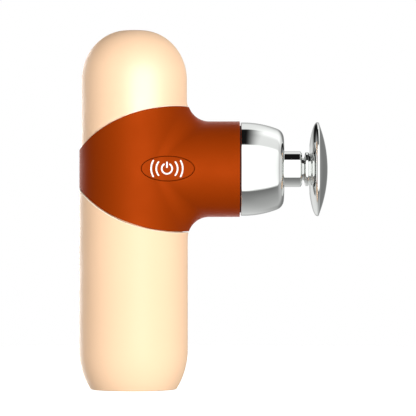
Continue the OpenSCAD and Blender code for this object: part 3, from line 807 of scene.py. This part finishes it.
def collar_mesh():
    """The collar's outer and inner surface, its seams and its mouth, without the opening."""
    split_phi = math.radians(38)
    seam_phi = math.asin(FRONT_HALF / BALL_BRANCH)
    body_x = float(ball_centre(seam_phi)[0]) * BODY_R / BALL_BODY
    seam_psi = math.acos(body_x / BODY_R)

    # The collar's upper edge, from the back to the front, on the quarter with y and z above 0
    back = np.linspace(math.pi, BAND_PSI, BAND_COLS + 1)
    front = np.linspace(BAND_PSI, seam_psi, SEAM_ROWS + 1)[1:]
    psi = np.concatenate([back, front])
    edge = xyz(BODY_R * np.cos(psi), BODY_R * np.sin(psi), seam_half(BODY_R * np.cos(psi)))
    top_phi = np.linspace(seam_phi, math.pi / 2, FRONT_ROWS + 1)[1:]
    over = []
    for phi in top_phi:
        path = fillet_path(phi, SHARES)[0]
        share = np.interp(FRONT_HALF, path[:, 2], SHARES)
        over.append(fillet_path(phi, [share])[0][0])
    edge = np.concatenate([edge, over])
    edge[-1, 1] = 0
    edge[0, 1] = 0
    normal = outer_normals(edge)[0]
    tangent = np.gradient(edge, axis=0)
    tangent[0] = tangent[-1] = [0, -1, 0]
    tangent = unit(tangent)
    upward = unit(np.cross(normal, tangent))
    upward *= np.sign(upward[:, 2])[:, None]
    start = edge - SEAM_ROUND * upward

    # Main grid: one row for each angle round the branch
    phis = np.concatenate([
        np.linspace(0, split_phi, SIDE_ROWS + 1),
        np.linspace(split_phi, seam_phi, SEAM_ROWS + 1)[1:],
        top_phi,
    ])
    rows = []
    for i, phi in enumerate(phis):
        centre = ball_centre(phi)
        branch_x = np.linspace(BRANCH_END - MOUTH_ROUND, centre[0], BRANCH_COLS)
        branch = xyz(branch_x, BRANCH_R * math.cos(phi), BRANCH_R * math.sin(phi))
        opening = fillet_path(phi, [0.0])[1]
        if i <= SIDE_ROWS + SEAM_ROWS:
            if i < SIDE_ROWS:
                target = start[BAND_COLS] * [1, 1, i / SIDE_ROWS]
                target[:2] = BODY_R * math.cos(BAND_PSI), BODY_R * math.sin(BAND_PSI)
            else:
                target = start[BAND_COLS + i - SIDE_ROWS]
            touch = centre * [BODY_R / BALL_BODY, BODY_R / BALL_BODY, 1]
            psi0 = math.atan2(touch[1], touch[0])
            psi1 = math.atan2(target[1], target[0])
            arc_len = FILLET_R * opening
            flat_len = math.hypot(BODY_R * (psi1 - psi0), target[2] - touch[2])
            if i == SIDE_ROWS + SEAM_ROWS:
                flat_len = 0.0
            along = np.linspace(0, arc_len + flat_len, BODY_COLS + 1)[1:]
            past = along > arc_len + ROUND_OFF
            path = fillet_path(phi, along[~past] / arc_len)[0]
            rest = (along[past] - arc_len) / max(flat_len, ROUND_OFF)
            turn = psi0 + (psi1 - psi0) * rest
            height = touch[2] + (target[2] - touch[2]) * rest
            flat = xyz(BODY_R * np.cos(turn), BODY_R * np.sin(turn), height)
            path = np.concatenate([path, flat])
        else:
            target = start[BAND_COLS + i - SIDE_ROWS]
            dense = fillet_path(phi, SHARES)[0]
            share = np.interp(target[2], dense[:, 2], SHARES)
            path = fillet_path(phi, np.linspace(0, share, BODY_COLS + 1)[1:])[0]
        path[-1] = target
        row = np.concatenate([branch, path])
        if i == len(phis) - 1:
            row[:, 1] = 0
        rows.append(row)
    main = np.stack(rows)
    main_n = outer_normals(main.reshape(-1, 3))[0].reshape(main.shape)
    main_n[-1, :, 1] = 0

    # Band round the back: one column for each angle round the body
    share = np.linspace(0, 1, SIDE_ROWS + 1)[None, :, None]
    foot = start[:BAND_COLS + 1, None, :]
    band = foot * [1, 1, 0] + foot * [0, 0, 1] * share
    turn = np.arctan2(band[..., 1], band[..., 0])
    band[..., 0] = BODY_R * np.cos(turn)
    band[..., 1] = BODY_R * np.sin(turn)
    band[0, :, 1] = 0
    main[:SIDE_ROWS + 1, -1] = band[BAND_COLS]
    main_n[:SIDE_ROWS + 1, -1] = unit(band[BAND_COLS] * [1, 1, 0])
    band_n = unit(band * [1, 1, 0])
    start = np.concatenate([band[:, -1], main[SIDE_ROWS + 1:, -1]])
    start_n = np.concatenate([band_n[:, -1], main_n[SIDE_ROWS + 1:, -1]])

    skin = Skin()
    skin.quarters(main)
    skin.quarters(main - SKIN * main_n)
    skin.quarters(band)
    skin.quarters(band - SKIN * band_n)
    seam = [start] + rounding(start, upward, start_n, SEAM_ROUND, SKIN) + [start - SKIN * start_n]
    skin.quarters(np.stack(seam, axis=1))
    end, end_n = main[:, 0], main_n[:, 0]
    forward = np.array([1.0, 0, 0])
    mouth = [end] + rounding(end, forward, end_n, MOUTH_ROUND, SKIN) + [end - SKIN * end_n]
    skin.quarters(np.stack(mouth, axis=1))
    return skin.mesh("collar", AXIS_Z)


BUTTON_X = (BUTTON_LOW[0] + BUTTON_HIGH[0]) / 2
# The slit round the cap, and the rounding of its two edges
BUTTON_GAP = 0.28
OVAL_A = (BUTTON_HIGH[0] - BUTTON_LOW[0]) / 2 + BUTTON_GAP
OVAL_B = (BUTTON_HIGH[2] - BUTTON_LOW[2]) / 2 + BUTTON_GAP
OVAL_ROUND = 0.12
OVAL_STEPS = 128
OVAL_TURNS = (np.arange(OVAL_STEPS) + 0.5) * 2 * math.pi / OVAL_STEPS
CAP_RINGS = 10
# How deep the cap's wall goes, and the reach and thickness of the flange at its end
CAP_DEPTH = 1.95
CAP_FLANGE = 0.9
CAP_FLANGE_T = 0.35
# The cutter reaches from ahead of the collar's side to inside it
CUT_FROM = -30
CUT_TO = -12


def oval(grow):
    """Points of the oval on the collar's button side, grown by a margin, and their normals."""
    x = BUTTON_X + (OVAL_A + grow) * np.cos(OVAL_TURNS)
    z = (OVAL_B + grow) * np.sin(OVAL_TURNS)
    points = xyz(x, -side_surface(x, z), z)
    return points, outer_normals(points)[0]


def collar():
    """The collar, with the opening for the button and the lip that lines it."""
    piece = place("collar", collar_mesh())

    # The opening for the button, cut a rounding wider than it is
    wide, wide_n = oval(OVAL_ROUND)
    bar = Skin()
    flat = wide * [1, 0, 1]
    bar.grid(np.stack([flat + [0, CUT_FROM, 0], flat + [0, CUT_TO, 0]], axis=1), wrap=True)
    bar.faces.append(tuple(range(0, 2 * OVAL_STEPS, 2)))
    bar.faces.append(tuple(range(1, 2 * OVAL_STEPS, 2)))
    cutter = place("cutter", bar.mesh("cutter", AXIS_Z))
    cut = piece.modifiers.new("opening", "BOOLEAN")
    cut.operation = "DIFFERENCE"
    cut.solver = "EXACT"
    cut.object = cutter
    graph = bpy.context.evaluated_depsgraph_get()
    opened = bpy.data.meshes.new_from_object(piece.evaluated_get(graph))
    bpy.data.objects.remove(piece)
    bpy.data.objects.remove(cutter)

    # The rounded lip that lines the opening
    narrow = oval(0)[0]
    inward = narrow - wide
    inward = unit(inward - (inward * wide_n).sum(axis=1)[:, None] * wide_n)
    columns = [wide] + rounding(wide, inward, wide_n, OVAL_ROUND, SKIN)
    columns += [wide - SKIN * wide_n, wide]
    lip = Skin()
    lip.grid(np.stack(columns, axis=1), wrap=True)
    lip_mesh = lip.mesh("lip", AXIS_Z)

    work = bmesh.new()
    work.from_mesh(opened)
    work.from_mesh(lip_mesh)
    for face in work.faces:
        face.smooth = True
    whole = bpy.data.meshes.new("collar")
    work.to_mesh(whole)
    work.free()
    bpy.data.meshes.remove(opened)
    bpy.data.meshes.remove(lip_mesh)
    piece = make_object("collar", whole, 40, weighted=False)
    exact_normals(whole, AXIS_Z)
    return piece


def button():
    """The oval cap, flush with the collar, with a rounded edge and a closed back."""
    radii = np.concatenate([[0], np.linspace(0.12, 1, CAP_RINGS + 1)])
    half_a = OVAL_A - BUTTON_GAP - OVAL_ROUND
    half_b = OVAL_B - BUTTON_GAP - OVAL_ROUND
    x = BUTTON_X + radii[:, None] * half_a * np.cos(OVAL_TURNS)
    z = radii[:, None] * half_b * np.sin(OVAL_TURNS)
    face = xyz(x, -side_surface(x, z), z)
    rim = face[-1]
    rim_n = outer_normals(rim)[0]
    outward = rim - face[-2]
    outward = unit(outward - (outward * rim_n).sum(axis=1)[:, None] * rim_n)
    rows = list(face) + rounding(rim, outward, rim_n, OVAL_ROUND, CAP_DEPTH)
    # A flange behind the collar's skin closes the gap to the eye
    edge = rim + OVAL_ROUND * outward
    rows.append(edge + CAP_FLANGE * outward - CAP_DEPTH * rim_n)
    rows.append(edge + CAP_FLANGE * outward - (CAP_DEPTH + CAP_FLANGE_T) * rim_n)
    rows.append(edge - CAP_FLANGE_T * outward - (CAP_DEPTH + CAP_FLANGE_T) * rim_n)
    back = rows[-1] * [1, 0, 1] + [0, BUTTON_HIGH[1], 0]
    rows.append(back)
    middle = back.mean(axis=0)
    rows.append(middle + (back - middle) * 0.01)
    rows.append(np.broadcast_to(middle, back.shape))
    skin = Skin()
    skin.grid(np.stack(rows, axis=1), wrap=True)
    mesh = skin.mesh("button_cap", AXIS_Z)
    piece = make_object("button_cap", mesh, 40, weighted=False)
    exact_normals(mesh, AXIS_Z)
    return piece


# The mark: a power symbol with a pair of vibration arcs on each side
MARK_X = BUTTON_X - 0.4
STROKE = 0.32
MARK_PROUD = 0.045
MARK_SUNK = 0.05
MARK_EDGE = MARK_PROUD * 0.6
# Across a stroke: share of its half width, and height above the cap
MARK_SECTION = (
    (-1, -MARK_SUNK), (-1, MARK_EDGE), (-0.8, MARK_PROUD), (0, MARK_PROUD),
    (0.8, MARK_PROUD), (1, MARK_EDGE), (1, -MARK_SUNK), (-1, -MARK_SUNK),
)
# Radius, first and last angle, and number of points of each arc
MARK_ARCS = (
    (2.15, 125, 415, 56), (4.4, -38, 38, 26), (4.4, 142, 218, 26),
    (6.5, -30, 30, 26), (6.5, 150, 210, 26),
)
MARK_BAR = np.linspace(0.55, 2.6, 8)
END_TURNS = np.radians([25, 50, 70, 90])


def mark_lines():
    """The middle lines of the mark's strokes."""
    lines = [np.stack([0 * MARK_BAR, MARK_BAR], axis=1)]
    for radius, first, last, count in MARK_ARCS:
        turns = np.radians(np.linspace(first, last, count))
        lines.append(np.stack([radius * np.cos(turns), radius * np.sin(turns)], axis=1))
    return lines


def stroke_rows(line):
    """Centres and half-width offsets along a line, with a round end on each side."""
    ahead = unit(np.gradient(line, axis=0))
    across = np.stack([-ahead[:, 1], ahead[:, 0]], axis=1)
    reach = STROKE * np.sin(END_TURNS)[:, None]
    narrow = STROKE * np.cos(END_TURNS)[:, None]
    centres = [line[0] - ahead[0] * reach[::-1], line, line[-1] + ahead[-1] * reach]
    offsets = [across[0] * narrow[::-1], across * STROKE, across[-1] * narrow]
    return np.concatenate(centres), np.concatenate(offsets)


def mark():
    """The printed mark: thin strokes with round ends that follow the cap's surface."""
    skin = Skin()
    for line in mark_lines():
        centres, offsets = stroke_rows(line)
        columns = []
        for share, proud in MARK_SECTION:
            flat = centres + offsets * share + [MARK_X, 0]
            y = side_surface(flat[:, 0], flat[:, 1]) + proud
            columns.append(xyz(flat[:, 0], -y, flat[:, 1]))
        skin.grid(np.stack(columns, axis=1))
    return make_object("button_mark", skin.mesh("button_mark", AXIS_Z), 50)


declare(collar(), "housing", "collar_shell", "orange_collar")
declare(button(), "power_button", "power_button", "orange_collar")
declare(mark(), "power_button", "button_icon", "white_print")

# ---------------------------------------------------------------- chrome

CUP_X = CUP_LOW[0]
CUP_END = CUP_HIGH[0]
CUP_R = (CUP_HIGH[2] - CUP_LOW[2]) / 2
SHAFT_R = (SHAFT_HIGH[2] - SHAFT_LOW[2]) / 2
SHAFT_END = SHAFT_HIGH[0]
DISC_R = (DISC_HIGH[2] - DISC_LOW[2]) / 2
DISC_FRONT = DISC_HIGH[0]
STEM_R = (STEM_HIGH[2] - STEM_LOW[2]) / 2
# Where the head's stem steps down to the tenon inside the disc
STEM_STEP = 70.9
WIPER_R = (WIPER_HIGH[2] - WIPER_LOW[2]) / 2


def nose_cup():
    """The cup: a long arc along its side, a rounded front corner and a bevelled opening."""
    wall = 2.0
    back_round = 0.3
    side_r = 39.7
    corner_r = 4.35
    straight = 1.0
    bevel = 0.4
    front_x = CUP_END - 2.8
    chamber_r = 13.5
    chamber_turn = 19
    length = CUP_END - CUP_X
    corner_x = length - corner_r
    turn = math.degrees(math.asin((corner_x - straight) / (side_r - corner_r)))
    side_centre = CUP_R - side_r
    corner_centre = side_centre + (side_r - corner_r) * math.cos(math.radians(turn))
    inner = side_r - wall
    profile = [(CUP_X + back_round, CUP_R - wall), (CUP_X, CUP_R - wall + back_round)]
    profile += arc(CUP_X + back_round, CUP_R - back_round, back_round, back_round, -90, 0, 5)
    profile += arc(CUP_X + straight, side_centre, side_r, side_r, 0, turn, 22)
    profile += arc(CUP_X + corner_x, corner_centre, corner_r, corner_r, turn, 90, 16)[1:]
    profile += [(CUP_END, WIPER_R + bevel + 0.05)]
    profile += arc(CUP_END - bevel, WIPER_R + bevel, bevel, -bevel, 90, 0, 5)
    profile += [(front_x, WIPER_R), (front_x, chamber_r)]
    profile += arc(CUP_X + straight, side_centre, inner, inner, chamber_turn, 0, 8)
    return lathe("nose_cup_shell", profile, 40)


def wiper():
    """A rubber ring with a raised lip that rubs on the shaft."""
    x0, x1 = WIPER_LOW[0], WIPER_HIGH[0]
    inner = SHAFT_R + 0.05
    return lathe("wiper_ring", rounded([
        (x0, inner, 0), (x0, WIPER_R, 0), (x1, WIPER_R, 0.15), (x1, WIPER_R - 0.7, 0.15),
        (x1 - 0.5, WIPER_R - 0.95, 0.1), (x1 - 0.1, inner + 0.35, 0.15), (x1 - 0.25, inner, 0),
    ]))


def shaft():
    """The shaft, from its stud at the yoke to the socket in its front end."""
    stud_r, stud_end = 4.0, SHAFT_LOW[0] + 7.5
    socket_r, socket_back = STEM_R + 0.05, 47.6
    x0 = SHAFT_LOW[0]
    return lathe("plunger_rod", rounded([
        (x0, stud_r, 0), (x0, SHAFT_R - 0.4, 0.1), (x0 + 0.4, SHAFT_R, 0.1),
        (SHAFT_END - 0.6, SHAFT_R, 0.6), (SHAFT_END, SHAFT_R - 1.1, 0.3),
        (SHAFT_END, socket_r + 0.4, 0.15), (SHAFT_END - 0.4, socket_r, 0.15),
        (socket_back, socket_r, 0), (socket_back, 0, 0), (stud_end, 0, 0), (stud_end, stud_r, 0),
    ]))


def disc():
    """The mushroom: bead, a plateau inside the ridge, an elliptic flank and a shallow dome."""
    ridge_r, ridge_x = 10.66, 73.65
    rim_x, rim_round = 76.8, 0.45
    face_r = 52.0
    foot_x = STEM_HIGH[0]
    bore_r = 3.8
    throat_r, throat_x = 4.8, 71.3
    bead_r, bead_x0, bead_x1 = 7.07, 71.8, 73.1
    waist_r, waist_x = 5.9, 73.5
    plateau_r, plateau_x = 7.6, 74.1
    neck = rounded([
        (foot_x, bore_r, 0), (STEM_STEP, bore_r, 0), (STEM_STEP, STEM_R, 0.1),
        (throat_x, throat_r, 0.2), (bead_x0, bead_r, 0.5), (bead_x1, bead_r, 0.5),
        (waist_x, waist_r, 0.25), (plateau_x, plateau_r, 0.8),
        (ridge_x + 0.1, ridge_r - 0.35, 0.15),
    ])
    # The flank is the part of an ellipse that ends level at the rim
    flank_turn = 50
    flank_b = (DISC_R - ridge_r) / (1 - math.cos(math.radians(flank_turn)))
    flank_a = (rim_x - ridge_x) / math.sin(math.radians(flank_turn))
    flank = arc(rim_x, DISC_R - flank_b, flank_a, flank_b, -flank_turn, 0, 32)
    edge_r = DISC_R - rim_round
    face_cx = DISC_FRONT - face_r
    face = [
        (face_cx + math.sqrt(face_r ** 2 - r * r), r) for r in np.linspace(edge_r - 0.15, 0, 36)
    ]
    edge = arc(rim_x, edge_r, face[0][0] - rim_x, rim_round, 0, 80, 6)[1:]
    return lathe("massage_disc_shell", neck + flank + edge + face + [(foot_x, 0)], 40)


def stem():
    """The head's stem, with the groove for its ring and the tenon inside the disc."""
    groove_r, groove_a, groove_b = 2.6, 57.9, 60.1
    x0, x1 = STEM_LOW[0], STEM_HIGH[0]
    bevel = 0.6
    tenon = STEM_R - 0.8
    return lathe("head_stem_pin", rounded([
        (x0, 0, 0), (x0, STEM_R - bevel, 0.2), (x0 + bevel, STEM_R, 0.2), (groove_a, STEM_R, 0.1),
        (groove_a, groove_r, 0.1), (groove_b, groove_r, 0.1), (groove_b, STEM_R, 0.1),
        (STEM_STEP, STEM_R, 0), (STEM_STEP, tenon, 0), (x1, tenon, 0), (x1, 0, 0),
    ]))


declare(nose_cup(), "housing", "nose_cup", "chrome_trim")
declare(wiper(), "housing", "shaft_wiper", "black_rubber")
declare(shaft(), "plunger", "plunger_shaft", "chrome_trim")
declare(disc(), "massage_head", "massage_disc", "chrome_trim")
declare(stem(), "massage_head", "head_stem", "chrome_trim")

# ---------------------------------------------------------------- floor and light

FLOOR_R = 0.45
FLOOR_SOLID_R = 0.22
FLOOR_STEPS = 96
FLOOR_DROP = 0.00005
FLOOR_GLOW = 0.90


def floor():
    """A pale disc whose edge fades away, so that no horizon shows."""
    mesh = bpy.data.meshes.new("floor")
    work = bmesh.new()
    bmesh.ops.create_circle(work, cap_ends=True, segments=FLOOR_STEPS, radius=FLOOR_R)
    work.to_mesh(mesh)
    work.free()
    plate = place("floor", mesh)
    plate.location = (0, 0, cad_box[0][2] - FLOOR_DROP)
    plate.visible_glossy = False
    plate.visible_diffuse = False
    plate.visible_shadow = False
    paint = Paint("pale_floor")
    grain = paint.noise(40, 4)
    paint.finish(
        paint.mix(paint.spread(grain, 0, 1), (0.90, 0.90, 0.90), (0.93, 0.93, 0.93)),
        paint.spread(grain, 0.7, 0.8), Specular_IOR_Level=0.1,
        Emission_Color=(1, 1, 1, 1), Emission_Strength=FLOOR_GLOW,
    )
    length = paint.node("ShaderNodeVectorMath", {0: paint.coords}, operation="LENGTH")
    fade = paint.spread(length.outputs["Value"], 0, 1, (FLOOR_SOLID_R, FLOOR_R))
    clear = paint.node("ShaderNodeBsdfTransparent").outputs[0]
    paint.feed(paint.blend(fade, paint.surface, clear), paint.output.inputs["Surface"])
    mesh.materials.append(paint.material)


BODY_MIDDLE = (0.01, 0, 0.085)


def softbox(name, spot, size, power, only=None, matt=True, gloss=False):
    """A round softbox. It can miss matt or glossy surfaces, or light only some pieces."""
    data = bpy.data.lights.new(name, "AREA")
    data.shape = "DISK"
    data.size = size
    data.energy = power
    lamp = place(name, data)
    lamp.location = spot
    aim = Vector(BODY_MIDDLE) - Vector(spot)
    lamp.rotation_euler = aim.to_track_quat("-Z", "Y").to_euler()
    lamp.visible_camera = False
    lamp.visible_glossy = gloss
    lamp.visible_diffuse = matt
    if only:
        lit = bpy.data.collections.new(name + "_lit")
        for piece in only:
            lit.objects.link(bpy.data.objects[piece])
        lamp.light_linking.receiver_collection = lit


# What smooth surfaces mirror, by elevation round the X axis: 0 is straight towards the
# camera, 90 is overhead and 180 is straight behind
STUDIO = [
    (-180, 0.40), (-160, 0.48), (-150, 0.72), (-115, 0.50), (-85, 0.30), (-58, 0.17), (-55, 1.3),
    (61, 1.3), (63.5, 0.008), (114, 0.008), (118, 0.90), (146, 0.86), (158, 0.50), (180, 0.40),
]
STUDIO_RIGHT = [
    (-180, 0.20), (-158, 0.22), (-130, 0.50), (-85, 0.34), (-58, 0.17), (-52, 1.3),
    (61, 1.3), (66, 0.86), (95, 0.90), (110, 1.3), (140, 0.90), (160, 0.24), (180, 0.20),
]
STUDIO_LEFT = [
    (-180, 0.80), (-150, 0.85), (-115, 0.70), (-85, 0.40), (-58, 0.20), (-52, 1.3),
    (61, 1.3), (64, 0.008), (171, 0.008), (177, 0.80),
]
# Straight along the X axis, where the angle means nothing
STUDIO_END = 0.55
SIDE_START = 0.04
SIDE_END = 0.30
END_START = 0.50
END_FULL = 0.98

# The mirrored studio's grey leans a trace to green
GREENISH = 1.01

# What lights the matt surfaces: a band round the horizon, with a soft edge, and a dim rest
BAND_LEVEL = 0.60
BAND_HALF = 0.42
BAND_SOFT = 0.15
REST_LEVEL = 0.06


def studio_world():
    """The studio: what glossy rays meet, what matt surfaces see, and white for the camera."""
    world = bpy.data.worlds.new("studio")
    scene.world = world
    world.use_nodes = True
    tree = Nodes(world.node_tree)

    def ramp(stops, factor):
        """Brightness by angle, from (angle, brightness) stops."""
        made = tree.node("ShaderNodeValToRGB", {0: factor})
        elements = made.color_ramp.elements
        for i, (angle, level) in enumerate(stops):
            share = (angle + 180) / 360
            stop = elements[i] if i < 2 else elements.new(share)
            stop.position = share
            stop.color = (level, level * GREENISH, level, 1)
        return made.outputs[0]

    def smooth(value, start, end, levels=(0.0, 1.0)):
        """A smooth step from the first level at start to the second at end."""
        return tree.carry(value, (start, end), levels, "SMOOTHSTEP")

    def background(**sources):
        """A white background of strength 1, unless the sources say otherwise."""
        return tree.node("ShaderNodeBackground", {"Color": (1, 1, 1), **sources}).outputs[0]

    x, y, z = tree.split(tree.node("ShaderNodeTexCoord").outputs["Generated"])
    elevation = tree.math("ARCTAN2", z, tree.math("MULTIPLY", y, -1.0))
    turn = tree.math("MULTIPLY_ADD", elevation, 1 / (2 * math.pi), 0.5)
    to_right = smooth(x, SIDE_START, SIDE_END)
    to_left = smooth(x, -SIDE_START, -SIDE_END)
    to_end = smooth(tree.math("ABSOLUTE", x), END_START, END_FULL)
    mirrored = tree.mix(to_right, ramp(STUDIO, turn), ramp(STUDIO_RIGHT, turn))
    mirrored = tree.mix(to_left, mirrored, ramp(STUDIO_LEFT, turn))
    mirrored = tree.mix(to_end, mirrored, (STUDIO_END,) * 3)
    band = smooth(
        tree.math("ABSOLUTE", z), BAND_HALF - BAND_SOFT, BAND_HALF + BAND_SOFT,
        (BAND_LEVEL, REST_LEVEL),
    )
    ray = tree.node("ShaderNodeLightPath").outputs
    lit = tree.blend(ray["Is Glossy Ray"], background(Strength=band), background(Color=mirrored))
    shown = tree.blend(ray["Is Camera Ray"], lit, background())
    tree.node("ShaderNodeOutputWorld", {"Surface": shown})


scene.view_settings.view_transform = "Standard"
scene.view_settings.look = "None"
floor()
studio_world()

CREAM_PIECES = ("upper_shell", "lower_shell")
ORANGE_PIECES = ("collar", "button_cap")
PLASTIC_PIECES = CREAM_PIECES + ORANGE_PIECES
KEY = {"spot": (0.40, -1.45, 0.05), "size": 0.7, "power": 25.5}
SHEEN = {"matt": False, "gloss": True}
softbox("key", **KEY)
softbox("key_sheen", **KEY, **SHEEN, only=PLASTIC_PIECES)
softbox("back_right", (0.75, 1.3, 0.12), 1.0, 10.0)
softbox("rim_left", (-0.66, 1.32, 0.10), 1.0, 14.5, PLASTIC_PIECES, gloss=True)
softbox("rim_top", (0.10, 1.30, 0.75), 0.8, 9.0, ORANGE_PIECES, **SHEEN)
softbox("rim_low", (0.10, 1.30, -0.58), 0.8, 9.0, ORANGE_PIECES, **SHEEN)
softbox("left_fill", (-1.40, -0.30, 0.085), 1.0, 2.0, CREAM_PIECES)
softbox("top_glow", (0.0, 0.30, 1.45), 1.2, 6.0, ("upper_shell",))
softbox("top_sheen", (0.55, -1.40, 0.13), 1.8, 430.0, ("upper_shell",), **SHEEN)
